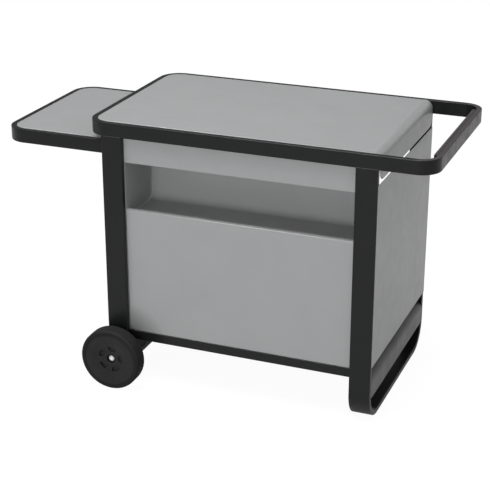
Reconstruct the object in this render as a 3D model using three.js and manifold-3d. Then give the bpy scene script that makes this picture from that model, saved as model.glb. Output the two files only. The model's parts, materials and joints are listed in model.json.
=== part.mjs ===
import * as THREE from 'three';
import { mergeVertices } from 'three/addons/utils/BufferGeometryUtils.js';
import Module from 'manifold-3d';

// Barbecue cart: a sheet-metal cabinet carried by flat-tube frames, on two wheels and a sled,
// with a loop handle at one end and a side shelf at the other.
// X runs along the cart with the handle at +X, the front faces -Y, Z is up from the floor.
// All lengths are in millimetres. The leg frames stand symmetrically about X = 0 while the
// pieces are built; the last step moves the whole cart so that its origin is under its middle.

// Driving dimensions of the whole cart
const bodyLength = 864; // over the outer faces of the legs
const bodyDepth = 610; // front face to back face of the frames
const frameHeight = 853; // floor to the top of the upper frame
const frameOverhang = 54.2; // upper frame past the legs at the shelf end
const handleReach = 166.3; // upper frame past the legs at the handle end
const shelfReach = 364; // side shelf past the legs
const shelfSide = 23.5; // side shelf frame inside the legs, at the front and at the back
const shelfDrop = 69; // top of the side shelf frame below the top of the upper frame

// Flat tube
const tubeThickness = 17;
const tubeEdge = 1.5; // rounded long edges of the tube
const legFace = 66; // tube width of the leg frames
const barHeight = 43; // tube width of the upper frame and of the shelf frame
const frameBend = 68; // outer radius of the bends of the upper frame and shelf frame
const handleBend = 61; // and of the two bends at the handle
const sledBend = 90; // outer radius of the bends at the foot of the sled
const wheelLegBend = 37; // and of those at the foot of the wheeled legs
const leftRunHeight = 54.4; // underside of the run between the wheeled legs
const gripThickness = 10;
const gripRound = 4;
const gripEndGap = 4; // grip ends short of the bends

// Clearances
const seatGap = 0.3; // between pieces that rest on each other
const trayGap = 0.5; // all round a tray in its frame
const overrun = 20; // how far a cutting or trimming shape runs past what it cuts

// Sheet metal
const sheet = 2;
const trayRise = 1; // trays stand this much above their frames
const trayEdge = 3; // rounded edge of a tray
const trayFlange = 24; // turned-down edge inside the frame
const topRoll = 27; // rolled handle end of the worktop
const topSkirt = 81.6; // worktop skirt below the frame top at the handle end
const skirtCorner = 30; // rounded lower corners of the worktop skirt
const bottomTrayHeight = 162;
const bottomRoll = 27;
const bottomSkirt = 80;
const bottomSkirtCorner = 10;
const bottomTrayInset = 8; // wheel end of the bottom tray inside the legs' outer faces

// Rails between the legs
const railHeight = 30;
const railDepth = 15;
const railTop = 171;
const railEnd = 13; // rail ends inside the legs' outer faces
const railEdge = 1.5;

// Front: fascia, lower panel and the open niche between them
const fasciaHeight = 82.5; // below the upper frame
const fasciaLap = 11; // fascia behind the upper frame
const fasciaReturn = 15;
const foldRadius = 4;
const frontPanelTop = 578;
const panelEdge = 3.5;
const panelFlange = 16;
const nicheFloor = 554.5;
const nicheDepth = 188; // from the back of the front legs to the back wall
const nicheBend = 24;
const cheekLap = 16; // niche cheeks below the niche floor
const cheekTail = 12; // niche cheeks behind the back wall
const cheekFlange = 20;
const linerFlange = 18; // turned-back top edge of the niche's back wall
const linerLip = 14; // turned-down front edge of the niche floor

// Side panels, flat sheets on the outer faces of the legs
const sideInset = 4.7; // side panels inside the legs' front and back faces
const sideBottom = 190.4;
const sideSlit = 8.5; // between the worktop skirt and the panel below it
const sideCorner = 3;
const sideEdge = 0.5;
const shelfPassage = 4; // wheel-end side panel below the shelf frame

// Shelf brackets and their bolts
const bracketSheet = 3;
const bracketHeight = 34;
const bracketWidth = 33;
const bracketInset = 4; // from the legs' outer faces
const boltFlats = 13;
const boltSides = 6;
const boltHeadHeight = 5.5;

// Wheels
const wheelRadius = 100;
const wheelWidth = 50;
const wheelGap = 25.6; // front or back face of the frames to the wheel
const axleInset = 37.2; // axle centre inside the legs' outer faces
const axleRadius = 6;
const axleClearance = 0.3;
const tyreThickness = 16;
const tyreRound = 8;
const tyreGap = 0.3;
const rimLip = 0.6; // rim face behind the tyre's side
const rimWidth = 17; // flat ring of the rim face
const dishDepth = 10;
const dishShares = [[0.25, 0.33], [0.5, 0.67], [0.75, 0.89]]; // way in to the hub, way down
const hubRadius = 20;
const capPocketRadius = 15;
const capPocketDepth = 7;
const webThickness = 4.5;
const rimWall = 5;
const bushWall = 3;
const pocketInner = 27;
const pocketOuter = 42;
const pocketRound = 2.5;
const pocketDepth = 2.5; // below the hub face
const pocketSpread = Math.PI / 9;
const pocketStart = Math.PI * 100 / 180;
const pocketCount = 5;
const ribCount = 10;
const ribThickness = 3;
const ribDepthShare = 0.25; // how far the ribs stand in behind the wheel's middle, of its width
const spacerWall = 4;
const capRadius = 8;
const capHeight = 5;
const capRim = 2.2;

// Counts of facets
const arcSteps = 3; // small corners
const bendSteps = 6; // bends of the tubes and trays
const edgeSteps = 2;
const foldSteps = 4;
const wheelFacets = 48;
const roundFacets = 24;

// Places that follow from the sizes above
const legOuter = bodyLength / 2;
const legInner = legOuter - legFace;
const frameFront = bodyDepth / 2;
const legBack = frameFront - tubeThickness; // inner faces of the legs, from the middle
const frameLeft = -(legOuter + frameOverhang);
const frameRight = legOuter + handleReach;
const frameBottom = frameHeight - barHeight;
const shelfLeft = -(legOuter + shelfReach);
const shelfHalf = legBack - shelfSide;
const shelfHeight = frameHeight - shelfDrop;
const shelfBottom = shelfHeight - barHeight;
const panelFace = legBack - seatGap; // front faces of the panels, from the middle
const fasciaBottom = frameBottom - fasciaHeight;
const nicheBack = legBack - nicheDepth;
const cheekInner = legInner; // niche cheeks stand in line with the legs' inner edges
const frontHalf = cheekInner - seatGap; // half width of the fascia and the lower panel
const linerHalf = frontHalf - sheet - seatGap;
const sideInner = legOuter + seatGap; // faces of the side panels, from the middle
const sideOuter = sideInner + sheet;
const sideHalf = frameFront - sideInset;
const rightSideTop = frameHeight - topSkirt - sideSlit;
const leftSideTop = shelfBottom - shelfPassage;
const shelfTubeEnd = -(cheekInner + sheet + seatGap);
const axleX = axleInset - legOuter;
const wheelInnerFace = frameFront + wheelGap;
const wheelMiddle = wheelInnerFace + wheelWidth / 2;
const rimRadius = wheelRadius - tyreThickness - tyreGap;
const hubFace = wheelWidth / 2 - rimLip - dishDepth; // from the middle of the wheel, outwards
const capPocketFloor = hubFace - capPocketDepth;

const wasm = await Module();
wasm.setup();

// Solid work

function toSolid(geometry) {
  const bare = geometry.clone();
  bare.deleteAttribute('normal');
  bare.deleteAttribute('uv');
  const merged = mergeVertices(bare);
  return new wasm.Manifold(new wasm.Mesh({
    numProp: 3,
    vertProperties: new Float32Array(merged.attributes.position.array),
    triVerts: new Uint32Array(merged.index.array),
  }));
}

function toGeometry(solid) {
  const mesh = solid.getMesh();
  const geometry = new THREE.BufferGeometry();
  geometry.setAttribute('position', new THREE.BufferAttribute(mesh.vertProperties, 3));
  geometry.setIndex(new THREE.BufferAttribute(mesh.triVerts, 1));
  geometry.computeVertexNormals();
  return geometry;
}

// A rectangle with its own radius at each corner, in the order low-low, high-low, high-high,
// low-high.
function roundedBox(u0, v0, u1, v1, radii, Kind = THREE.Shape) {
  const [a, b, c, d] = radii;
  const quarter = Math.PI / 2;
  const path = new Kind();
  path.moveTo(u0 + a, v0);
  path.lineTo(u1 - b, v0);
  if (b > 0) path.absarc(u1 - b, v0 + b, b, -quarter, 0);
  path.lineTo(u1, v1 - c);
  if (c > 0) path.absarc(u1 - c, v1 - c, c, 0, quarter);
  path.lineTo(u0 + d, v1);
  if (d > 0) path.absarc(u0 + d, v1 - d, d, quarter, Math.PI);
  path.lineTo(u0, v0 + a);
  if (a > 0) path.absarc(u0 + a, v0 + a, a, Math.PI, Math.PI + quarter);
  return path;
}

const unitX = new THREE.Vector3(1, 0, 0);
const unitY = new THREE.Vector3(0, 1, 0);
const unitZ = new THREE.Vector3(0, 0, 1);
const alongAxis = {
  x: new THREE.Matrix4().makeBasis(unitY, unitZ, unitX), // outline in Y and Z
  y: new THREE.Matrix4().makeBasis(unitX, unitZ, unitY.clone().negate()), // outline in X and Z
  z: new THREE.Matrix4(), // outline in X and Y
};

// An outline run along one axis from low to high, with rounded edges where edge is given.
function prism(axis, outline, low, high, edge = 0, steps = arcSteps) {
  const geometry = new THREE.ExtrudeGeometry(outline, {
    depth: high - low - 2 * edge,
    steps: 1,
    curveSegments: steps,
    bevelEnabled: edge > 0,
    bevelThickness: edge,
    bevelSize: edge,
    bevelOffset: -edge,
    bevelSegments: edgeSteps,
  });
  geometry.translate(0, 0, edge + (axis === 'y' ? -high : low));
  return geometry.applyMatrix4(alongAxis[axis]);
}

function box(x0, x1, y0, y1, z0, z1) {
  return toSolid(prism('z', roundedBox(x0, y0, x1, y1, [0, 0, 0, 0]), z0, z1));
}

// The corners of a folded sheet, each bend drawn as an arc of its own radius.
function foldedLine(corners, radii) {
  const line = [corners[0]];
  for (let i = 1; i < corners.length - 1; i += 1) {
    const radius = radii[i - 1];
    const before = corners[i].clone().sub(corners[i - 1]).normalize();
    const after = corners[i + 1].clone().sub(corners[i]).normalize();
    const turn = Math.atan2(before.cross(after), before.dot(after));
    const start = corners[i].clone().addScaledVector(before, -radius * Math.tan(Math.abs(turn) / 2));
    const side = new THREE.Vector2(-before.y, before.x).multiplyScalar(Math.sign(turn) * radius);
    const centre = start.clone().add(side);
    for (let k = 0; k <= foldSteps; k += 1) {
      line.push(start.clone().rotateAround(centre, turn * k / foldSteps));
    }
  }
  line.push(corners[corners.length - 1]);
  return line;
}

// A sheet of even thickness to the left of a line.
function sheetAlong(line, thickness) {
  const offset = line.map((point, i) => {
    const before = (i > 0 ? point.clone().sub(line[i - 1]) : line[1].clone().sub(point)).normalize();
    const after = (i < line.length - 1 ? line[i + 1].clone().sub(point) : before.clone()).normalize();
    const normal = new THREE.Vector2(-before.y - after.y, before.x + after.x).normalize();
    const stretch = thickness / (normal.x * -before.y + normal.y * before.x);
    return point.clone().addScaledVector(normal, stretch);
  });
  return new THREE.Shape([...line, ...offset.reverse()]);
}

function foldedSheet(axis, corners, radii, low, high) {
  const points = corners.map(([u, v]) => new THREE.Vector2(u, v));
  return prism(axis, sheetAlong(foldedLine(points, radii), sheet), low, high);
}

// Tube frames

// A closed loop of flat tube lying level, with one bend radius at each end.
function loopFrame(x0, x1, half, low, high, bend0, bend1) {
  const t = tubeThickness;
  const bends = [bend0, bend1, bend1, bend0];
  const outline = roundedBox(x0, -half, x1, half, bends);
  outline.holes.push(roundedBox(x0 + t, t - half, x1 - t, half - t, bends.map((r) => r - t),
    THREE.Path));
  return prism('z', outline, low, high, tubeEdge, bendSteps);
}

// The three-sided loop of the side shelf, open towards the cabinet.
function openLoop(x0, x1, half, low, high, bend) {
  const loop = toSolid(loopFrame(x0, x1 + overrun + bend, half, low, high, bend, bend));
  return toGeometry(loop.subtract(box(x1, x1 + 2 * (overrun + bend), -half - overrun,
    half + overrun, low - overrun, high + overrun)));
}

// Two legs and the run that joins them at the foot, bent from one flat tube.
function legFrame(runBottom, bend) {
  const t = tubeThickness;
  const ring = roundedBox(-frameFront, runBottom, frameFront, frameBottom + 2 * overrun,
    [bend, bend, 0, 0]);
  ring.holes.push(roundedBox(t - frameFront, runBottom + t, frameFront - t,
    frameBottom + overrun, [bend - t, bend - t, 0, 0], THREE.Path));
  const bent = toSolid(prism('x', ring, -legFace / 2, legFace / 2, tubeEdge, bendSteps));
  const top = frameBottom - seatGap;
  return bent.subtract(box(-legFace, legFace, -bodyDepth, bodyDepth, top, top + 3 * overrun));
}

function wheeledLegFrame() {
  const bore = new THREE.CylinderGeometry(axleRadius + axleClearance, axleRadius + axleClearance,
    bodyDepth + overrun, roundFacets);
  bore.translate(axleX + legOuter - legFace / 2, 0, wheelRadius);
  return toGeometry(legFrame(leftRunHeight, wheelLegBend).subtract(toSolid(bore)));
}

function gripPad() {
  const half = frameFront - handleBend - gripEndGap;
  const back = frameRight - tubeThickness - seatGap;
  const outline = roundedBox(back - gripThickness, -half, back, half, [gripRound, 0, 0, gripRound]);
  return prism('z', outline, frameBottom, frameHeight, tubeEdge);
}

function rail() {
  const outline = roundedBox(-panelFace, railTop - railHeight, railDepth - panelFace, railTop,
    Array(4).fill(railEdge));
  return prism('x', outline, railEnd - legOuter, legOuter - railEnd);
}

// Sheet trays

// The outline of a tray from above. Where wideHalf is given, the tray is that wide to each side
// of the middle from wideFrom on.
function trayPlan({ left, right, half, corner, wideFrom, wideHalf }, inset) {
  if (!wideHalf) {
    const c = Math.max(corner - inset, 0);
    return roundedBox(left + inset, inset - half, right + overrun, half - inset, [c, 0, 0, c]);
  }
  const side = [
    [left + inset, half - inset],
    [wideFrom + inset, half - inset],
    [wideFrom + inset, wideHalf - inset],
    [right + overrun, wideHalf - inset],
  ].map(([x, y]) => new THREE.Vector2(x, -y));
  const mirrored = side.map((point) => new THREE.Vector2(point.x, -point.y));
  return new THREE.Shape([...side, ...mirrored.reverse()]);
}

// A tray with turned-down edges. Its high-X end is rolled down into a skirt.
function rolledTray(form) {
  const { left, right, top, roll, flange, skirt, skirtRound } = form;
  const half = form.wideHalf ?? form.half;
  const low = top - skirt;
  const filled = (inset) => {
    const plan = prism('z', trayPlan(form, inset), low - overrun, top - inset,
      trayEdge - Math.min(inset, trayEdge / 2), bendSteps);
    const side = prism('y', roundedBox(left - overrun, low - 2 * overrun, right - inset, top - inset,
      [0, 0, roll - inset, 0]), -half - overrun, half + overrun, 0, bendSteps);
    return toSolid(plan).intersect(toSolid(side));
  };
  const outline = prism('x', roundedBox(-half, low, half, top + overrun,
    [skirtRound, skirtRound, 0, 0]), left - overrun, right + overrun, 0, bendSteps);
  const flangeCut = box(left - overrun, right - sheet, -half - overrun, half + overrun,
    low - 2 * overrun, top - flange);
  const pan = filled(0).subtract(filled(sheet)).intersect(toSolid(outline));
  return toGeometry(pan.subtract(flangeCut));
}

function topTray() {
  return rolledTray({
    left: frameLeft + tubeThickness + trayGap,
    right: sideOuter,
    half: legBack - trayGap,
    top: frameHeight + trayRise,
    corner: frameBend - tubeThickness - trayGap,
    roll: topRoll,
    flange: trayFlange,
    skirt: topSkirt + trayRise,
    skirtRound: skirtCorner,
  });
}

function bottomTray() {
  return rolledTray({
    left: bottomTrayInset - legOuter,
    right: legOuter,
    half: panelFace - railDepth - trayGap,
    wideFrom: legOuter - railEnd + trayGap,
    wideHalf: panelFace,
    top: bottomTrayHeight,
    roll: bottomRoll,
    flange: trayFlange,
    skirt: bottomSkirt,
    skirtRound: bottomSkirtCorner,
  });
}

function shelfTray() {
  return rolledTray({
    left: shelfLeft + tubeThickness + trayGap,
    right: -legOuter,
    half: shelfHalf - tubeThickness - trayGap,
    top: shelfHeight + trayRise,
    corner: frameBend - tubeThickness - trayGap,
    roll: trayEdge,
    flange: trayFlange,
    skirt: trayFlange,
    skirtRound: 0,
  });
}

// Sheet panels

// The lower front panel with its edges turned back, built facing +Z with its height along Y.
function frontPanel() {
  const low = railTop + seatGap;
  const filled = (inset) => {
    const outline = roundedBox(inset - frontHalf, low + inset, frontHalf - inset,
      frontPanelTop - inset, [0, 0, 0, 0]);
    return toSolid(prism('z', outline, -panelFlange - overrun, -inset,
      panelEdge - Math.min(inset, panelEdge / 2)));
  };
  const back = box(-frontHalf - overrun, frontHalf + overrun, low - overrun,
    frontPanelTop + overrun, -panelFlange - 2 * overrun, -panelFlange);
  return toGeometry(filled(0).subtract(filled(sheet)).subtract(back));
}

function sidePanel(high) {
  return prism('x', roundedBox(-sideHalf, sideBottom, sideHalf, high, Array(4).fill(sideCorner)),
    sideInner, sideOuter, sideEdge);
}

function fascia() {
  return foldedSheet('x', [
    [-panelFace, frameBottom + fasciaLap],
    [-panelFace, fasciaBottom],
    [fasciaReturn - panelFace, fasciaBottom],
  ], [foldRadius], -frontHalf, frontHalf);
}

// Floor and back wall of the niche, folded from one sheet with a wide bend between them.
function nicheLiner() {
  const front = -panelFace + 2 * sheet + panelEdge / 2 + seatGap;
  const top = frameHeight + trayRise - sheet - seatGap;
  const back = sheet - nicheBack;
  return foldedSheet('x', [
    [front, nicheFloor - linerLip],
    [front, nicheFloor - sheet],
    [back, nicheFloor - sheet],
    [back, top - sheet],
    [back + linerFlange, top - sheet],
  ], [foldRadius, nicheBend, foldRadius], -linerHalf, linerHalf);
}

// Upright side of the niche, with a flange turned out behind the leg. Side is 1 or -1.
function nicheCheek(side) {
  const corners = [
    [cheekInner * side, cheekTail - nicheBack],
    [cheekInner * side, -panelFace],
    [(cheekInner + cheekFlange) * side, -panelFace],
  ];
  if (side < 0) corners.reverse();
  return foldedSheet('z', corners, [foldRadius], nicheFloor - cheekLap, frameBottom + fasciaLap);
}

// Shelf brackets

// A channel between a leg's inner face and the outer face of the shelf tube. Side is -1 at the
// front and 1 at the back.
function shelfBracket(side) {
  const x0 = bracketInset - legOuter;
  const x1 = x0 + bracketWidth;
  const y0 = legBack - seatGap;
  const y1 = shelfHalf + seatGap;
  const t = bracketSheet;
  const outline = new THREE.Shape([
    [x0, y0], [x1, y0], [x1, y0 - t], [x0 + t, y0 - t],
    [x0 + t, y1 + t], [x1, y1 + t], [x1, y1], [x0, y1],
  ].map(([x, y]) => new THREE.Vector2(x, y * side)));
  const low = (shelfBottom + shelfHeight - bracketHeight) / 2;
  return prism('z', outline, low, low + bracketHeight);
}

function boltHead() {
  const radius = boltFlats / Math.sqrt(3);
  return new THREE.CylinderGeometry(radius, radius, boltHeadHeight, boltSides);
}

// Wheels, built around Y with their outer side at +Y

function ringOf(profile, facets) {
  const points = profile.map(([r, y]) => new THREE.Vector2(r, y));
  return new THREE.LatheGeometry([...points, points[0]], facets);
}

function tyre() {
  const outline = roundedBox(wheelRadius - tyreThickness, -wheelWidth / 2, wheelRadius,
    wheelWidth / 2, [0, tyreRound, tyreRound, 0]);
  return new THREE.LatheGeometry(outline.getPoints(edgeSteps), wheelFacets);
}

function wheelBlank() {
  const outer = wheelWidth / 2;
  const faceY = outer - rimLip;
  const bore = axleRadius + axleClearance + bushWall + axleClearance;
  const dishOuter = rimRadius - rimWidth;
  const webY = hubFace - pocketDepth - webThickness;
  return ringOf([
    [bore, -outer],
    [hubRadius, -outer],
    [hubRadius, webY],
    [rimRadius - rimWall, webY],
    [rimRadius - rimWall, -faceY],
    [rimRadius, -faceY],
    [rimRadius, faceY],
    [dishOuter, faceY],
    ...dishShares.map(([way, drop]) => [
      dishOuter + (hubRadius - dishOuter) * way, faceY - dishDepth * drop,
    ]),
    [hubRadius, hubFace],
    [capPocketRadius, hubFace],
    [capPocketRadius, capPocketFloor],
    [bore, capPocketFloor],
  ], wheelFacets);
}

// One pocket between two spokes of the wheel face, a sector of a ring with its corners cut.
function wheelPocket(angle) {
  const floor = hubFace - pocketDepth;
  const start = angle - pocketSpread;
  const end = angle + pocketSpread;
  const outerTrim = pocketRound / pocketOuter;
  const innerTrim = pocketRound / pocketInner;
  const inner = pocketInner + pocketRound;
  const outer = pocketOuter - pocketRound;
  const outline = new THREE.Shape();
  outline.absarc(0, 0, pocketOuter, start + outerTrim, end - outerTrim);
  outline.lineTo(outer * Math.cos(end), outer * Math.sin(end));
  outline.lineTo(inner * Math.cos(end), inner * Math.sin(end));
  outline.absarc(0, 0, pocketInner, end - innerTrim, start + innerTrim, true);
  outline.lineTo(inner * Math.cos(start), inner * Math.sin(start));
  outline.lineTo(outer * Math.cos(start), outer * Math.sin(start));
  return toSolid(prism('y', outline, floor, wheelWidth));
}

function wheelRib(angle) {
  const inner = hubRadius - ribThickness / 2;
  const outer = rimRadius - rimWall + ribThickness / 2;
  const low = -wheelWidth * ribDepthShare;
  const high = hubFace - pocketDepth - webThickness / 2;
  const rib = new THREE.BoxGeometry(outer - inner, high - low, ribThickness);
  rib.translate((inner + outer) / 2, (low + high) / 2, 0);
  return toSolid(rib.rotateY(angle));
}

function wheelDisc() {
  let disc = toSolid(wheelBlank());
  for (let i = 0; i < pocketCount; i += 1) {
    disc = disc.subtract(wheelPocket(pocketStart + 2 * Math.PI * i / pocketCount));
  }
  for (let i = 0; i < ribCount; i += 1) {
    disc = disc.add(wheelRib(2 * Math.PI * i / ribCount));
  }
  return toGeometry(disc);
}

function bush() {
  const inner = axleRadius + axleClearance;
  const outer = wheelWidth / 2;
  return ringOf([
    [inner, -outer], [inner + bushWall, -outer],
    [inner + bushWall, capPocketFloor], [inner, capPocketFloor],
  ], roundFacets);
}

function spacer() {
  const inner = axleRadius + axleClearance;
  return ringOf([
    [inner, seatGap], [inner + spacerWall, seatGap],
    [inner + spacerWall, wheelGap - seatGap], [inner, wheelGap - seatGap],
  ], roundFacets);
}

// Domed cap on the end of the axle, its rim turned over the bush.
function axleCap() {
  const dome = [[0, 0], [capRadius + capRim, 0], [capRadius + capRim, capRim / 2]];
  for (let i = 0; i <= foldSteps; i += 1) {
    const angle = Math.PI / 2 * i / foldSteps;
    dome.push([capRadius * Math.cos(angle), capRim / 2 + capHeight * Math.sin(angle)]);
  }
  return new THREE.LatheGeometry(dome.map(([r, y]) => new THREE.Vector2(Math.max(r, 0), y)),
    roundFacets);
}

// Finishes, one material for each piece

const finishes = {
  coat: { color: 0x2e2e30, roughness: 0.55, metalness: 0.1 },
  sheet: { color: 0xa3a5a6, roughness: 0.45, metalness: 0.35 },
  rubber: { color: 0x2b2b2b, roughness: 0.8, metalness: 0 },
  moulding: { color: 0x333435, roughness: 0.6, metalness: 0 },
  zinc: { color: 0xd5d6d8, roughness: 0.25, metalness: 0.9 },
};

const cart = new THREE.Group();

function place(name, geometry, finish, x = 0, y = 0, z = 0) {
  const mesh = new THREE.Mesh(geometry, new THREE.MeshStandardMaterial(finishes[finish]));
  mesh.name = name;
  mesh.position.set(x, y, z);
  cart.add(mesh);
  return mesh;
}

// Frames
place('top_frame', loopFrame(frameLeft, frameRight, frameFront, frameBottom, frameHeight,
  frameBend, handleBend), 'coat');
place('handle_grip', gripPad(), 'coat');
place('left_leg_frame', wheeledLegFrame(), 'coat', legFace / 2 - legOuter);
place('right_leg_frame', toGeometry(legFrame(0, sledBend)), 'coat', legOuter - legFace / 2);
place('front_rail', rail(), 'coat');
place('back_rail', rail(), 'coat').rotation.z = Math.PI;

// Cabinet
place('top_tray', topTray(), 'sheet');
place('bottom_tray', bottomTray(), 'sheet');
place('fascia_panel', fascia(), 'sheet');
place('front_panel', frontPanel(), 'sheet', 0, -panelFace).rotation.x = Math.PI / 2;
place('niche_liner', nicheLiner(), 'sheet');
place('niche_cheek_right', nicheCheek(1), 'sheet');
place('niche_cheek_left', nicheCheek(-1), 'sheet');
place('side_panel_right', sidePanel(rightSideTop), 'sheet');
place('side_panel_left', sidePanel(leftSideTop), 'sheet').rotation.z = Math.PI;

// Side shelf
place('shelf_frame', openLoop(shelfLeft, shelfTubeEnd, shelfHalf, shelfBottom, shelfHeight, frameBend),
  'coat');
place('shelf_tray', shelfTray(), 'sheet');

// What is the same at the front and at the back: side is -1 at the front and 1 at the back.
for (const [end, side] of [['front', -1], ['back', 1]]) {
  const boltX = bracketInset - legOuter + (bracketWidth + bracketSheet) / 2;
  const boltZ = (shelfBottom + shelfHeight) / 2;
  const boltFace = bracketSheet + 2 * seatGap + boltHeadHeight / 2;
  place(`shelf_bracket_${end}`, shelfBracket(side), 'coat');
  place(`leg_bolt_${end}`, boltHead(), 'zinc', boltX, side * (legBack - boltFace), boltZ);
  place(`shelf_bolt_${end}`, boltHead(), 'zinc', boltX, side * (shelfHalf + boltFace), boltZ);

  const turn = side < 0 ? Math.PI : 0;
  const capY = wheelMiddle + capPocketFloor + seatGap;
  place(`axle_spacer_${end}`, spacer(), 'zinc', axleX, side * frameFront, wheelRadius).rotation.z = turn;
  place(`wheel_${end}`, wheelDisc(), 'moulding', axleX, side * wheelMiddle, wheelRadius).rotation.z = turn;
  place(`tyre_${end}`, tyre(), 'rubber', axleX, side * wheelMiddle, wheelRadius).rotation.z = turn;
  place(`bush_${end}`, bush(), 'moulding', axleX, side * wheelMiddle, wheelRadius).rotation.z = turn;
  place(`axle_cap_${end}`, axleCap(), 'zinc', axleX, side * capY, wheelRadius).rotation.z = turn;
}

const axleHalf = wheelMiddle + capPocketFloor;
place('axle', new THREE.CylinderGeometry(axleRadius, axleRadius, 2 * axleHalf, roundFacets), 'zinc',
  axleX, 0, wheelRadius);

// The origin under the middle of the cart, on the floor
cart.position.x = -(shelfLeft + frameRight) / 2;

export default cart;
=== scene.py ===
# %% [markdown]
# A barbecue cart, dressed for its portrait
#
# The cart is a sheet-metal cabinet hung in frames of flat steel tube. Everything on it is rigid,
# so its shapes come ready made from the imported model, and this lesson gives them what a drawing
# lacks: powder coat, moulded plastic, rubber, bright zinc, welds, light and a camera.
# All lengths are in metres. X runs along the cart towards the handle, the front faces -Y, and
# Z is up from the floor.

# %% Load the cart
import json
import math

import bpy
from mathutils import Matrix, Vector


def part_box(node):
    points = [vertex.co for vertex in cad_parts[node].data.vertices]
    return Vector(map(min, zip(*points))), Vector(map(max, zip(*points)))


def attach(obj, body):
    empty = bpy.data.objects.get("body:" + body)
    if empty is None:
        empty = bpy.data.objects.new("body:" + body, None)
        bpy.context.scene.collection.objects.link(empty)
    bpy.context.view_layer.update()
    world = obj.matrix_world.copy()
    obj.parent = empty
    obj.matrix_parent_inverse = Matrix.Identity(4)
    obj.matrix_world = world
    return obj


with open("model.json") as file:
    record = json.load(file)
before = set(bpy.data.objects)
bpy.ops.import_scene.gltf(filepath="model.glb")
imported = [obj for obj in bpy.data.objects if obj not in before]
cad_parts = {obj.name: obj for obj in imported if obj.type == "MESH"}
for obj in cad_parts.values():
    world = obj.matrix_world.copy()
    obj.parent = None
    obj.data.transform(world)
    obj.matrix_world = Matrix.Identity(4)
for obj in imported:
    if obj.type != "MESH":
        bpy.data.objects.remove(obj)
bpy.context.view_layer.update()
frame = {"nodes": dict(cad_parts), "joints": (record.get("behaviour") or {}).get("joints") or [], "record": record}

nodes = frame["nodes"]

# %% [markdown]
# The camera
#
# The photograph was taken from the front, a little to the handle side and well above the
# worktop. A long lens keeps the far edges nearly parallel to the near ones. The camera's place
# comes from matching the straight edges of the tubes, so it needs no shift and no tilt.

# %% Place the camera
azimuth, elevation = math.radians(21.63334), math.radians(22.15976)
camera_place = (1.50910, -3.77741, 2.04789)
lens_mm, sensor_mm = 100.0762, 36.0

camera_data = bpy.data.cameras.new("studio_camera")
camera_data.lens = lens_mm
camera_data.sensor_width = sensor_mm
camera = bpy.data.objects.new("studio_camera", camera_data)
bpy.context.scene.collection.objects.link(camera)
camera.location = camera_place
towards_camera = Vector((math.sin(azimuth) * math.cos(elevation),
                         -math.cos(azimuth) * math.cos(elevation),
                         math.sin(elevation)))
camera.rotation_mode = "QUATERNION"
camera.rotation_quaternion = (-towards_camera).to_track_quat("-Z", "Y")
bpy.context.scene.camera = camera
print("camera distance", round(camera.location.length, 3))

# %% [markdown]
# Nodes by hand
#
# Light, paper and paint are all described by small trees of nodes. They could be drawn in the
# shader editor and kept in a file, but written out they can be read and changed line by line.
# Three helpers take up what repeats: one adds a node with its values filled in, one does a sum
# on sockets or plain numbers, and one chooses between two shaders.

# %% Start a node tree
white = (1, 1, 1, 1)


def add_node(tree, kind, values=None, **settings):
    """A node with some of its settings and sockets filled in."""
    made = tree.nodes.new(kind)
    for name, value in settings.items():
        setattr(made, name, value)
    for socket, value in (values or {}).items():
        made.inputs[socket].default_value = value
    return made


def calculate(tree, operation, first, second=None, **settings):
    """The result of one sum, whose terms are sockets or plain numbers."""
    made = add_node(tree, "ShaderNodeMath", operation=operation, **settings)
    for socket, term in zip(made.inputs, (first, second)):
        if isinstance(term, bpy.types.NodeSocket):
            tree.links.new(term, socket)
        elif term is not None:
            socket.default_value = term
    return made.outputs[0]


def either_shader(tree, share, first, second):
    """The first shader where the share is 0, the second where it is 1."""
    mixed = add_node(tree, "ShaderNodeMixShader")
    for source, socket in zip((share, first, second), mixed.inputs):
        tree.links.new(source, socket)
    return mixed.outputs[0]


print("node helpers ready")

# %% [markdown]
# The studio
#
# A product photographer stands such a cart in a bright white room. The world does most of that
# work: it is plain white to the camera and to reflections, and dimmer as a source of light, so
# that lamps can still tell the top, the front and the side apart. One number can't be both, so
# the world asks what kind of ray has come, and answers with one of two backgrounds.

# %% Make the white world
scene = bpy.context.scene
scene.view_settings.view_transform = "Standard"
sky_share = 0.385


def straight_ray(tree):
    """A socket that is 1 for what the camera sees, also in a reflection or through glass."""
    ray = add_node(tree, "ShaderNodeLightPath").outputs
    seen = calculate(tree, "MAXIMUM", ray["Is Camera Ray"], ray["Is Glossy Ray"])
    return calculate(tree, "MAXIMUM", seen, ray["Is Transmission Ray"])


world = bpy.data.worlds.new("white_studio")
world.use_nodes = True
scene.world = world
sky = world.node_tree
sky_light = sky.nodes["Background"]
sky_light.inputs["Color"].default_value = white
sky_light.inputs["Strength"].default_value = sky_share
sky_seen = add_node(sky, "ShaderNodeBackground", {"Color": white, "Strength": 1.0})
sky.links.new(either_shader(sky, straight_ray(sky), sky_light.outputs[0], sky_seen.outputs[0]),
              sky.nodes["World Output"].inputs["Surface"])
print("the world lights at", sky_share, "of white")

# %% [markdown]
# Lamps
#
# Four round lamps, each nearly twice as wide as the cart is long, light it from four sides, so
# the shadows stay soft. The strongest two hang above and stand in front, where the photograph
# is brightest: the worktop comes out lightest, then the front, then the end. Their powers were
# found by rendering the cart once with each lamp alone, and adding the pictures up until the
# worktop, front, end and niche agreed with the photograph. Only the upper lamp shows in the
# gloss, since the others would burn white patches into the worktop when it is seen from a low
# angle.

# %% Hang the lamps
lamp_size = 2.6
cart_middle = Vector((0, 0, 0.5))


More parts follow.
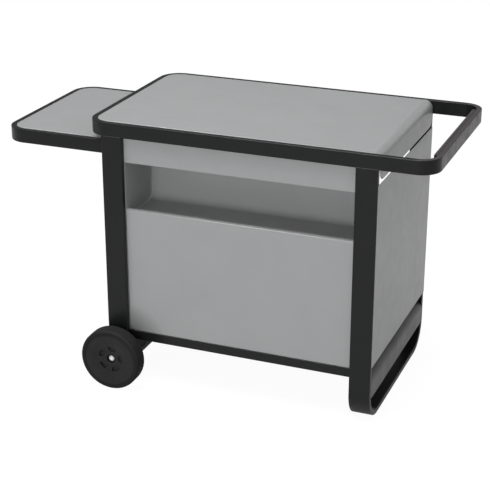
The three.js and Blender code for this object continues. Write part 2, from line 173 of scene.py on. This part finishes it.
def add_lamp(name, place, watts, in_gloss=False):
    data = bpy.data.lights.new(name, "AREA")
    data.shape = "DISK"
    data.size = lamp_size
    data.energy = watts
    lamp = bpy.data.objects.new(name, data)
    scene.collection.objects.link(lamp)
    lamp.location = place
    lamp.rotation_euler = (cart_middle - lamp.location).to_track_quat("-Z", "Y").to_euler()
    lamp.visible_glossy = in_gloss
    print(name, watts, "W")


add_lamp("ceiling_lamp", (-0.4, -1.05, 4.6), watts=109, in_gloss=True)
add_lamp("front_lamp", (0.2, -5.6, 1.6), watts=110)
add_lamp("back_lamp", (2.0, 5.2, 1.8), watts=42)
add_lamp("shelf_side_lamp", (-5.2, 0.8, 1.8), watts=40)

# %% [markdown]
# Flat things that glow
#
# Cards, paper and the small trim further down are all meshes made from a list of corners, and
# cards and paper shine by themselves. Blender's own plane could be scaled and turned for each,
# but corners given in metres show at once where a thing stands.

# %% Make things from corners


def add_mesh(name, corners, faces, finish):
    """A mesh object with one finish, put into the scene."""
    mesh = bpy.data.meshes.new(name)
    mesh.from_pydata(corners, [], faces)
    mesh.materials.append(finish)
    made = bpy.data.objects.new(name, mesh)
    scene.collection.objects.link(made)
    return made


def bare_finish(name):
    """A material without a shader, and its tree."""
    finish = bpy.data.materials.new(name)
    finish.use_nodes = True
    tree = finish.node_tree
    tree.nodes.remove(tree.nodes["Principled BSDF"])
    return finish, tree


def glow(tree, brightness):
    return add_node(tree, "ShaderNodeEmission", {"Color": white, "Strength": brightness}).outputs[0]


print("mesh helpers ready")

# %% [markdown]
# Cards for the reflections
#
# Satin paint shows what stands round it. A photographer hangs cards there: a ring of grey ones
# round the cart, so that the worktop and the trays don't wash out to white where they are seen
# at a flat angle, a bright one over the front left corner, which draws a fine light line along
# every edge that is folded towards the front, and a pale one behind the handle's far corner, so
# that the worktop's rolled end fades evenly from light to dark. The cards could be lamps, but
# then they would also light the cart. Here only the gloss sees them, and neither the camera nor
# the shadows do.

# %% Hang the cards


def hang_card(name, corners, brightness, faces=((0, 1, 2, 3),)):
    finish, tree = bare_finish(name)
    tree.links.new(glow(tree, brightness), tree.nodes["Material Output"].inputs["Surface"])
    card = add_mesh(name, corners, faces, finish)
    card.visible_camera = card.visible_diffuse = card.visible_shadow = False
    card.visible_transmission = False


ring_sides, ring_reach, ring_foot, ring_head = 24, 6.5, 0.35, 8.0
turns = [2 * math.pi * k / ring_sides for k in range(ring_sides)]
ring = [(ring_reach * math.sin(turn), ring_reach * math.cos(turn), level)
        for turn in turns for level in (ring_foot, ring_head)]
ring_faces = [(2 * k, (2 * k + 2) % len(ring), (2 * k + 3) % len(ring), 2 * k + 1)
              for k in range(ring_sides)]
hang_card("grey_card", ring, brightness=0.25, faces=ring_faces)

edge_left, edge_right, edge_near, edge_far, edge_level = -2.6, 0.8, -4.0, -1.0, 5.2
hang_card("edge_card", [(edge_left, edge_near, edge_level), (edge_right, edge_near, edge_level),
                        (edge_right, edge_far, edge_level), (edge_left, edge_far, edge_level)],
          brightness=24.0)

roll_left, roll_right, roll_head = (1.3, 6.0), (5.3, 3.1), 3.0
hang_card("roll_card", [(*roll_left, ring_foot), (*roll_right, ring_foot),
                        (*roll_right, roll_head), (*roll_left, roll_head)], brightness=0.8)
print("cards hung")

# %% [markdown]
# The paper
#
# The cart stands on white paper that runs out to the horizon. Real paper is grey wherever the
# light is less than full, so a plain white plane would show a grey floor. This one glows nearly
# white to the camera and adds a small part that takes the light, which leaves a faint soft
# shadow at the wheels and under the run. To the gloss it is ordinary pale paper, darker below the
# cart, as the tubes should show it. As a source of light it is half as bright as paper, because
# the white world already stands in for the rest.

# %% Lay the paper
paper_half, paper_level, paper_bounce = 12.0, -0.0005, 0.5


def matt(tree, share):
    """The light that a surface of this share of white throws back on all sides."""
    colour = (share, share, share, 1)
    return add_node(tree, "ShaderNodeBsdfDiffuse", {"Color": colour}).outputs[0]


def white_sheet(tree, shaded, glowing):
    """Paper whose glowing share stays white in any shadow, while its shaded share darkens."""
    sheet = add_node(tree, "ShaderNodeAddShader")
    tree.links.new(matt(tree, shaded), sheet.inputs[0])
    tree.links.new(glow(tree, glowing), sheet.inputs[1])
    return sheet.outputs[0]


paper_finish, tree = bare_finish("white_paper")
in_picture = white_sheet(tree, shaded=0.10, glowing=0.945)
in_reflections = white_sheet(tree, shaded=0.80, glowing=0.20)
in_gloss = add_node(tree, "ShaderNodeLightPath").outputs["Is Glossy Ray"]
seen = either_shader(tree, in_gloss, in_picture, in_reflections)
tree.links.new(either_shader(tree, straight_ray(tree), matt(tree, paper_bounce), seen),
               tree.nodes["Material Output"].inputs["Surface"])
paper = add_mesh("paper", [(side * paper_half, end * paper_half, paper_level)
                           for side, end in ((-1, -1), (1, -1), (1, 1), (-1, 1))],
                 [(0, 1, 2, 3)], paper_finish)
print("paper is", 2 * paper_half, "m wide")

# %% [markdown]
# Smooth bends from straight facets
#
# The model's tubes and rolled edges come as facets. Real ones are bent or pressed, so light runs
# round them without a step. One small node group does this for every piece: it welds the facets'
# corners together, drops the stored normals, and shades the surface smooth except across true
# edges. A weighted normal then keeps the wide flat faces flat. Nothing moves, so every piece
# keeps its size.

# %% Shade the pieces smooth
edge_limit = math.radians(50)
same_corner = 0.00001

rounding = bpy.data.node_groups.new("soft_shading", "GeometryNodeTree")
for direction in ("INPUT", "OUTPUT"):
    rounding.interface.new_socket("Geometry", in_out=direction, socket_type="NodeSocketGeometry")


def set_smooth(domain, smooth):
    return add_node(rounding, "GeometryNodeSetShadeSmooth", {"Shade Smooth": smooth}, domain=domain)


edges_sharp = set_smooth("EDGE", False)
steps = [add_node(rounding, "NodeGroupInput"),
         add_node(rounding, "GeometryNodeRemoveAttribute", {"Name": "custom_normal"}),
         add_node(rounding, "GeometryNodeMergeByDistance", {"Distance": same_corner}),
         set_smooth("FACE", True), set_smooth("EDGE", True), edges_sharp,
         add_node(rounding, "NodeGroupOutput")]
for first, second in zip(steps, steps[1:]):
    rounding.links.new(first.outputs[0], second.inputs[0])
angle = add_node(rounding, "GeometryNodeInputMeshEdgeAngle")
is_sharp = add_node(rounding, "FunctionNodeCompare", {1: edge_limit},
                    data_type="FLOAT", operation="GREATER_THAN")
rounding.links.new(angle.outputs["Unsigned Angle"], is_sharp.inputs[0])
rounding.links.new(is_sharp.outputs[0], edges_sharp.inputs["Selection"])


def shade_softly(piece):
    piece.modifiers.new("soft_shading", "NODES").node_group = rounding
    piece.modifiers.new("flat_faces", "WEIGHTED_NORMAL").keep_sharp = True


for piece in nodes.values():
    shade_softly(piece)
print("smooth shading on", len(nodes), "pieces")

# %% [markdown]
# Powder coat
#
# The tubes and the sheets are powder coated. The powder melts into a skin with a fine, pebbled
# texture, thinner over sharp edges, and its gloss is never quite even. A painted picture could
# show all this, but noise keeps its scale on every piece and has no seams. These first helpers
# start a finish, make noise that stays fixed to the piece, stretch its values to a range, and
# let the gloss wander.

# %% Start a finish
noise_roughness = 0.55


def new_finish(name, colour, roughness, metal=0.0, specular=0.5):
    """A material with its plain values on the shader's own sockets."""
    finish = bpy.data.materials.new(name)
    finish.use_nodes = True
    shader = finish.node_tree.nodes["Principled BSDF"]
    shader.inputs["Base Color"].default_value = (*colour, 1)
    shader.inputs["Roughness"].default_value = roughness
    shader.inputs["Metallic"].default_value = metal
    shader.inputs["Specular IOR Level"].default_value = specular
    return finish, finish.node_tree, shader


def noise(tree, scale, detail=3.0):
    """Noise that stays fixed to the piece, in waves of about one over the scale, in metres."""
    place = add_node(tree, "ShaderNodeTexCoord")
    cloud = add_node(tree, "ShaderNodeTexNoise",
                     {"Scale": scale, "Detail": detail, "Roughness": noise_roughness})
    tree.links.new(place.outputs["Object"], cloud.inputs["Vector"])
    return cloud.outputs["Fac"]


def spread(tree, source, low, high, from_low=0.3, from_high=0.7):
    """The source's values stretched between a lowest and a highest one."""
    ramp = add_node(tree, "ShaderNodeMapRange", {1: from_low, 2: from_high, 3: low, 4: high})
    tree.links.new(source, ramp.inputs["Value"])
    return ramp.outputs["Result"]


def vary_gloss(tree, shader, scale, low, high):
    tree.links.new(spread(tree, noise(tree, scale), low, high), shader.inputs["Roughness"])


print("finish helpers ready")

# %% [markdown]
# Lighter edges: wear and painted highlight
#
# A coat is thin over a sharp edge, and rubs off there first; a rounded edge also catches a
# highlight. Both are painted here as one lighter colour on the edges, so the lightening is partly
# wear and partly painted highlight. Such an edge is found by comparing the surface's own direction
# with one that is rounded over a millimetre or two: on a flat face they agree, and at an edge they part. Marking
# the edges by hand would be sharper, but this way serves every piece.

# %% Find the edges
bevel_samples = 4
clear_edge, no_edge = 0.75, 0.985


def rounded_normal(tree, radius):
    bevel = add_node(tree, "ShaderNodeBevel", {"Radius": radius}, samples=bevel_samples)
    return bevel.outputs["Normal"]


def edge_mask(tree, radius):
    """A socket that is 0 on flat faces and rises to 1 on edges sharper than the radius."""
    likeness = add_node(tree, "ShaderNodeVectorMath", operation="DOT_PRODUCT")
    tree.links.new(rounded_normal(tree, radius), likeness.inputs[0])
    tree.links.new(add_node(tree, "ShaderNodeNewGeometry").outputs["Normal"], likeness.inputs[1])
    return spread(tree, likeness.outputs["Value"], 1.0, 0.0, clear_edge, no_edge)


print("an edge is clear where the two directions' likeness falls to", clear_edge)

# %% [markdown]
# Colours over colours, and pebbles
#
# Real paint is layered: a coat, wear on the coat, dirt on both. So one helper always lays the
# next colour over whatever is there already, in places that a share socket marks. The pebbles
# of the melted powder are far too fine for a mesh, so they are a bump. It is raised over
# slightly rounded corners, which also lets each edge catch a little light.

# %% Mix colours and raise pebbles


def lay_over(tree, shader, colour, share):
    """Runs the base colour, as it is by now, towards another colour by a share socket."""
    base = shader.inputs["Base Color"]
    mixed = add_node(tree, "ShaderNodeMix", {"B": (*colour, 1)}, data_type="RGBA")
    if base.is_linked:
        tree.links.new(base.links[0].from_socket, mixed.inputs["A"])
    else:
        mixed.inputs["A"].default_value = base.default_value
    tree.links.new(share, mixed.inputs["Factor"])
    tree.links.new(mixed.outputs["Result"], base)


def bump(tree, shader, height, strength, distance, corner=0.0006):
    """Raises the surface by a height socket over corners that are rounded a little."""
    raised = add_node(tree, "ShaderNodeBump", {"Strength": strength, "Distance": distance})
    tree.links.new(height, raised.inputs["Height"])
    tree.links.new(rounded_normal(tree, corner), raised.inputs["Normal"])
    tree.links.new(raised.outputs["Normal"], shader.inputs["Normal"])


print("colour and bump helpers ready")

# %% [markdown]
# Three coats
#
# The tubes are black, and the sheets are a light grey. The bottom tray shows only its
# rolled end, low under the cart where less light reaches, so it gets a coat of its own, a darker
# grey than the panel above it: painted shade. One recipe makes all three: broad noise for the
# unevenness, medium noise for the gloss, fine noise for the pebbles, and lighter edges, partly wear and partly
# painted highlight.

# %% Make the coats
uneven_scale, uneven_share = 7.0, 0.08
lighter_edge_scale, lighter_edge_detail, lighter_edge_width, lighter_edge_start, lighter_edge_full = 60.0, 4.0, 0.0016, 0.4, 0.62
gloss_scale, gloss_less, gloss_more = 22.0, 0.05, 0.06
pebble_detail, pebble_strength, pebble_height = 2.0, 0.16, 0.00012


def powder_coat(name, colour, wear_and_highlight_colour, roughness, pebbles, wear_and_highlight_share, specular):
    finish, tree, shader = new_finish(name, colour, roughness, specular=specular)
    uneven = spread(tree, noise(tree, uneven_scale), 0.0, uneven_share)
    patches = spread(tree, noise(tree, lighter_edge_scale, lighter_edge_detail), 0.0, wear_and_highlight_share, lighter_edge_start, lighter_edge_full)
    # Edges are laid lighter: partly wear, partly a painted highlight along the edges.
    lightened = calculate(tree, "MULTIPLY", edge_mask(tree, lighter_edge_width), patches)
    lay_over(tree, shader, wear_and_highlight_colour, calculate(tree, "ADD", uneven, lightened, use_clamp=True))
    vary_gloss(tree, shader, gloss_scale, roughness - gloss_less, roughness + gloss_more)
    bump(tree, shader, noise(tree, pebbles, pebble_detail), pebble_strength, pebble_height)
    return finish


black_coat = powder_coat("black_powder_coat", (0.0077, 0.0081, 0.0083), (0.018, 0.0185, 0.019),
                         roughness=0.35, pebbles=1100.0, wear_and_highlight_share=0.40, specular=0.22)
grey_coat = powder_coat("grey_powder_coat", (0.350, 0.354, 0.358), (0.55, 0.555, 0.56),
                        roughness=0.38, pebbles=900.0, wear_and_highlight_share=0.60, specular=0.35)
# The bottom tray's coat is a darker grey than the panels: painted shade for its low place under the cart.
shaded_tray_coat = powder_coat("bottom_tray_shaded_coat", (0.100, 0.102, 0.104), (0.18, 0.18, 0.185),
                        roughness=0.42, pebbles=900.0, wear_and_highlight_share=0.35, specular=0.30)
print("coats made")

# %% [markdown]
# Painted shade on the roll
#
# The end of the bottom tray is rolled over just below the side panel, which keeps the light off
# the roll's top. That shade is painted into its colour: the roll is nearly black at its top and
# clears downwards. The painted shade is laid over the coat by two simple facts of the place: how
# high it is, and whether it faces outwards, so the tray's flat floor stays clean.

# %% Darken the roll
painted_shade, painted_shade_share = (0.012, 0.012, 0.013), 0.70
painted_shade_start, painted_shade_full = 0.040, 0.012
lean_start, lean_full = 0.05, 0.30


def along(tree, kind, source, axis):
    """One axis of the place or of the outward direction."""
    apart = add_node(tree, "ShaderNodeSeparateXYZ")
    tree.links.new(add_node(tree, kind).outputs[source], apart.inputs[0])
    return apart.outputs[axis]


tree = shaded_tray_coat.node_tree
roll_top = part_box("bottom_tray")[1].z
# The roll darkens towards its top where it faces outwards: painted shade under the side panel.
upper = spread(tree, along(tree, "ShaderNodeTexCoord", "Object", "Z"), 0.0, painted_shade_share,
               roll_top - painted_shade_start, roll_top - painted_shade_full)
outward = spread(tree, along(tree, "ShaderNodeNewGeometry", "Normal", "X"), 0.0, 1.0,
                 lean_start, lean_full)
lay_over(tree, tree.nodes["Principled BSDF"], painted_shade, calculate(tree, "MULTIPLY", upper, outward))
print("soot starts", round(roll_top - painted_shade_start, 3), "m up")

# %% [markdown]
# Wheels: moulded disc, rubber tyre, bright cap
#
# The wheel's disc is moulded in dark plastic, which keeps the faint sheen and the flow marks of
# its mould. The tyre is solid rubber: dull, a little dusty, with fine ribs left by the mould
# running round its sides. The ribs could be cut into the mesh, but they are far finer than a
# pixel, so they are a bump drawn from the distance to the axle, which keeps them true circles.

# %% Make the wheel's plastic and rubber
axle_point = frame["joints"][0]["pos_m"]
rib_pitch, rib_share, grain_share = 0.0035, 0.6, 0.4
dust, dust_share = (0.075, 0.073, 0.070), 0.08


def from_axle(tree):
    """The distance from the axle, in metres."""
    offset = add_node(tree, "ShaderNodeVectorMath", {1: (axle_point[0], 0, axle_point[2])},
                      operation="SUBTRACT")
    flat = add_node(tree, "ShaderNodeVectorMath", {1: (1, 0, 1)}, operation="MULTIPLY")
    length = add_node(tree, "ShaderNodeVectorMath", operation="LENGTH")
    place = add_node(tree, "ShaderNodeTexCoord").outputs["Object"]
    tree.links.new(place, offset.inputs[0])
    tree.links.new(offset.outputs[0], flat.inputs[0])
    tree.links.new(flat.outputs[0], length.inputs[0])
    return length.outputs["Value"]


moulding, tree, shader = new_finish("moulded_plastic", (0.0075, 0.0077, 0.0080), 0.5, specular=0.25)
lay_over(tree, shader, (0.011, 0.011, 0.0115), spread(tree, noise(tree, 30.0), 0, 1))
vary_gloss(tree, shader, scale=90.0, low=0.46, high=0.58)
bump(tree, shader, noise(tree, 1500.0, 2.0), strength=0.12, distance=0.0001, corner=0.0009)

rubber, tree, shader = new_finish("tyre_rubber", (0.013, 0.013, 0.013), 0.76, specular=0.12)
lay_over(tree, shader, dust, spread(tree, noise(tree, 14.0, 5.0), 0.0, dust_share))
rib_angle = calculate(tree, "MULTIPLY", from_axle(tree), 2 * math.pi / rib_pitch)
ribs = spread(tree, calculate(tree, "SINE", rib_angle), 0.0, rib_share, from_low=0.4, from_high=1.0)
grain = spread(tree, noise(tree, 900.0), 0.0, grain_share)
bump(tree, shader, calculate(tree, "ADD", ribs, grain, use_clamp=True),
     strength=0.35, distance=0.0002, corner=0.001)
print("plastic and rubber made, axle at", [round(c, 4) for c in axle_point])

# %% [markdown]
# Painted shadow of the wheel on the panel
#
# The front panel's lower corner stands right behind the wheel. A soft dark arc lies there, wider
# than the wheel, where the wheel keeps the light off. A lamp low on the left could cast it as a
# shadow, but it would light the wheel too. So the shadow is painted: the panel gets a copy of the
# grey coat, darkened by the distance to the axle.

# %% Darken the corner behind the wheel
wheel_shadow_start, wheel_shadow_end, wheel_shadow_share = 0.090, 0.172, 0.80
wheel_shadow_colour, wheel_shadow_scale, wheel_shadow_thinnest = (0.11, 0.11, 0.11), 16.0, 0.85


def copy_coat(coat, name):
    """A copy of a coat to change further, with its tree and shader."""
    copied = coat.copy()
    copied.name = name
    return copied, copied.node_tree, copied.node_tree.nodes["Principled BSDF"]


shadowed_panel_coat, tree, shader = copy_coat(grey_coat, "front_panel_shadowed_coat")
# Painted shadow of the wheel: the coat darkens towards the axle.
in_wheel_shadow = spread(tree, from_axle(tree), wheel_shadow_share, 0.0, wheel_shadow_start, wheel_shadow_end)
cloudy = spread(tree, noise(tree, wheel_shadow_scale), wheel_shadow_thinnest, 1.0)
lay_over(tree, shader, wheel_shadow_colour, calculate(tree, "MULTIPLY", in_wheel_shadow, cloudy))
print("mark ends", wheel_shadow_end, "m from the axle")

# %% [markdown]
# The handle's lighter upper side
#
# The upper side of the handle bar, near its end, is a shade lighter and warmer than the coat round
# it, right up to the bends. A separate finish on the grip alone would stop at the grip's edge, so
# the black coat gets a copy with the lighter colour laid over it, where the bar faces upwards and
# lies near its end.

# %% Lighten the handle's upper side
upper_side_colour = (0.058, 0.051, 0.053)
lighter_start, lighter_full = 0.050, 0.026
level_start, level_full = 0.60, 0.95

handle_coat, tree, shader = copy_coat(black_coat, "handle_coat")
handle_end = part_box("handle_grip")[1].x
near_end = spread(tree, along(tree, "ShaderNodeTexCoord", "Object", "X"), 0.0, 1.0,
                  handle_end - lighter_start, handle_end - lighter_full)
upward = spread(tree, along(tree, "ShaderNodeNewGeometry", "Normal", "Z"), 0.0, 1.0,
                level_start, level_full)
lay_over(tree, shader, upper_side_colour, calculate(tree, "MULTIPLY", near_end, upward))
print("rubbed from", round(handle_end - lighter_start, 3), "m")

# %% [markdown]
# Bright metal
#
# The spacers, the axle and the bolts are zinc plated, bright and slightly cloudy. The cap on the
# axle's end is a paler, satin dome, coloured dark beyond a small distance from the axle, so that it
# shows as a small white disc in a black ring. A mirror would show the dark wheel round it, so the
# dome is a pale satin finish instead, and the dark ring is told from it by the distance to the axle.

# %% Make the zinc and the cap's finish
dome_reach, rim_step = 0.0085, 0.0004

zinc, tree, shader = new_finish("bright_zinc", (0.80, 0.80, 0.81), 0.24, metal=1.0)
lay_over(tree, shader, (0.66, 0.67, 0.69), spread(tree, noise(tree, 160.0), 0, 1))
vary_gloss(tree, shader, scale=420.0, low=0.18, high=0.34)
bump(tree, shader, noise(tree, 2400.0), strength=0.08, distance=0.0001)

cap_shine, tree, shader = new_finish("polished_cap", (0.95, 0.95, 0.96), 0.38)
on_rim = spread(tree, from_axle(tree), 0.0, 1.0, dome_reach, dome_reach + rim_step)
lay_over(tree, shader, (0.02, 0.02, 0.02), on_rim)
vary_gloss(tree, shader, scale=500.0, low=0.32, high=0.42)
print("dome ends", dome_reach, "m from the axle")

# %% [markdown]
# Dressing the pieces
#
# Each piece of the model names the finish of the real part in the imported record. The finish goes
# into the piece's own material slot, so its shape isn't touched. Only the bottom tray, the front
# panel, the handle and the axle's caps differ from the rest of their kind, so they have a list
# of their own, which comes first.

# %% Give every piece its finish
usual = {"black_coat": black_coat, "grey_coat": grey_coat, "tyre": rubber,
         "moulding": moulding, "zinc": zinc}
special = {"bottom_tray": shaded_tray_coat, "front_panel": shadowed_panel_coat,
           "top_frame": handle_coat, "handle_grip": handle_coat,
           "axle_cap_front": cap_shine, "axle_cap_back": cap_shine}
for part in frame["record"]["subparts"]:
    finish = special.get(part["node"], usual[part["material_slot"]])
    nodes[part["node"]].material_slots[0].material = finish

# %% [markdown]
# Lips behind the legs
#
# On the real cart the front panel's two sides are folded back, and the folds close the chink
# between the panel and the legs. From the front only a dark line shows there. Each fold is made
# here as a thin angle strip, drawn as an outline seen from above and stood up to the panel's
# height. It could be part of the panel's solid, but it is thinner than a saw line and never seen
# whole, so it belongs to the looks.

# %% Close the chinks beside the front panel
tube = 0.017
lip_thick, lip_wing, lip_fold = 0.0015, 0.011, 0.012
lip_gap, lip_margin = 0.0003, 0.002


def folded_strip(name, outline, low, high):
    """An upright strip with the given outline seen from above."""
    count = len(outline)
    verts = [(x, y, z) for z in (low, high) for x, y in outline]
    faces = [tuple(reversed(range(count))), tuple(range(count, 2 * count))]
    faces += [(k, (k + 1) % count, (k + 1) % count + count, k + count) for k in range(count)]
    strip = add_mesh(name, verts, faces, grey_coat)
    shade_softly(strip)
    return strip


panel_low, panel_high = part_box("front_panel")
lip_foot = panel_low.z + lip_margin
lip_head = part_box("niche_cheek_left")[0].z - lip_margin
for leg, side, panel_side in (("left_leg_frame", -1, panel_low.x),
                              ("right_leg_frame", 1, panel_high.x)):
    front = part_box(leg)[0].y + tube + lip_gap
    near = panel_side + side * lip_gap
    inner, far = near + side * lip_thick, near + side * lip_wing
    outline = [(near, front), (near, front + lip_fold), (inner, front + lip_fold),
               (inner, front + lip_thick), (far, front + lip_thick), (far, front)]
    if side > 0:
        outline.reverse()
    lip = folded_strip(f"{leg}_lip", outline, lip_foot, lip_head)
    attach(lip, "cart")
print("lips", round(lip_head - lip_foot, 3), "m high")

# %% [markdown]
# The line of a weld
#
# The legs are welded on under the upper frame, and on the real cart the bead runs all round the
# tube's end. Its line could be taken from the leg's mesh, but the leg's box gives the same
# outline with less work: four straight runs and four small quarter turns, cut into even steps.

# %% Trace the line of a weld
turn_radius, turn_steps = 0.0012, 6
line_step = 0.0012


def weld_line(low, high, level):
    """Evenly spaced points round the upright face of a tube, from its low to its high corner."""
    left, right = low.x + turn_radius, high.x - turn_radius
    near, far = low.y + turn_radius, high.y - turn_radius
    path = []
    for quarter, (x, y) in enumerate(((right, far), (left, far), (left, near), (right, near))):
        for k in range(turn_steps + 1):
            turn = (quarter + k / turn_steps) * math.pi / 2
            path.append(Vector((x + turn_radius * math.cos(turn),
                                y + turn_radius * math.sin(turn), level)))
    line = []
    for here, there in zip(path, path[1:] + path[:1]):
        count = max(1, round((there - here).length / line_step))
        line += [here.lerp(there, k / count) for k in range(count)]
    return line


print("a weld's line has steps of", line_step, "m")

# %% [markdown]
# Welds
#
# The coat hides a weld's colour but not its ripple. Each bead is a thin tube swept along its
# line, swelling and shrinking a little as the torch moved on. A bump could draw the ripple, but
# the bead stands out of the corner, so it has to be a shape.

# %% Weld the legs to the upper frame
bead_radius, bead_sides, bead_sink = 0.0011, 8, 0.00015
bead_inset, bead_height = 0.45, 1.5
ripple_length, ripple_depth = 0.005, 0.16


def bead_ring(name, line):
    """A rippled bead swept along a closed line of points."""
    verts, run = [], 0.0
    for k, point in enumerate(line):
        ahead, behind = line[(k + 1) % len(line)], line[k - 1]
        run += (point - behind).length if k else 0.0
        out = (ahead - behind).normalized().cross(Vector((0, 0, 1)))
        radius = bead_radius * (1 + ripple_depth * math.sin(2 * math.pi * run / ripple_length))
        for s in range(bead_sides):
            turn = 2 * math.pi * s / bead_sides
            rise = Vector((0, 0, radius * math.sin(turn) * bead_height))
            verts.append(point + out * radius * (math.cos(turn) - bead_inset) + rise)
    faces = []
    for k in range(len(line)):
        here, there = k * bead_sides, ((k + 1) % len(line)) * bead_sides
        for s in range(bead_sides):
            following = (s + 1) % bead_sides
            faces.append((here + s, here + following, there + following, there + s))
    ring = add_mesh(name, verts, faces, black_coat)
    ring.data.polygons.foreach_set("use_smooth", [True] * len(faces))
    return ring


joint_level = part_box("top_frame")[0].z - bead_sink
for leg in ("left_leg_frame", "right_leg_frame"):
    low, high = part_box(leg)
    for end, near, far in (("front", low.y, low.y + tube), ("back", high.y - tube, high.y)):
        line = weld_line(Vector((low.x, near, 0)), Vector((high.x, far, 0)), joint_level)
        bead = bead_ring(f"{leg}_{end}_weld", line)
        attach(bead, "cart")
print("welds at", round(joint_level, 4))
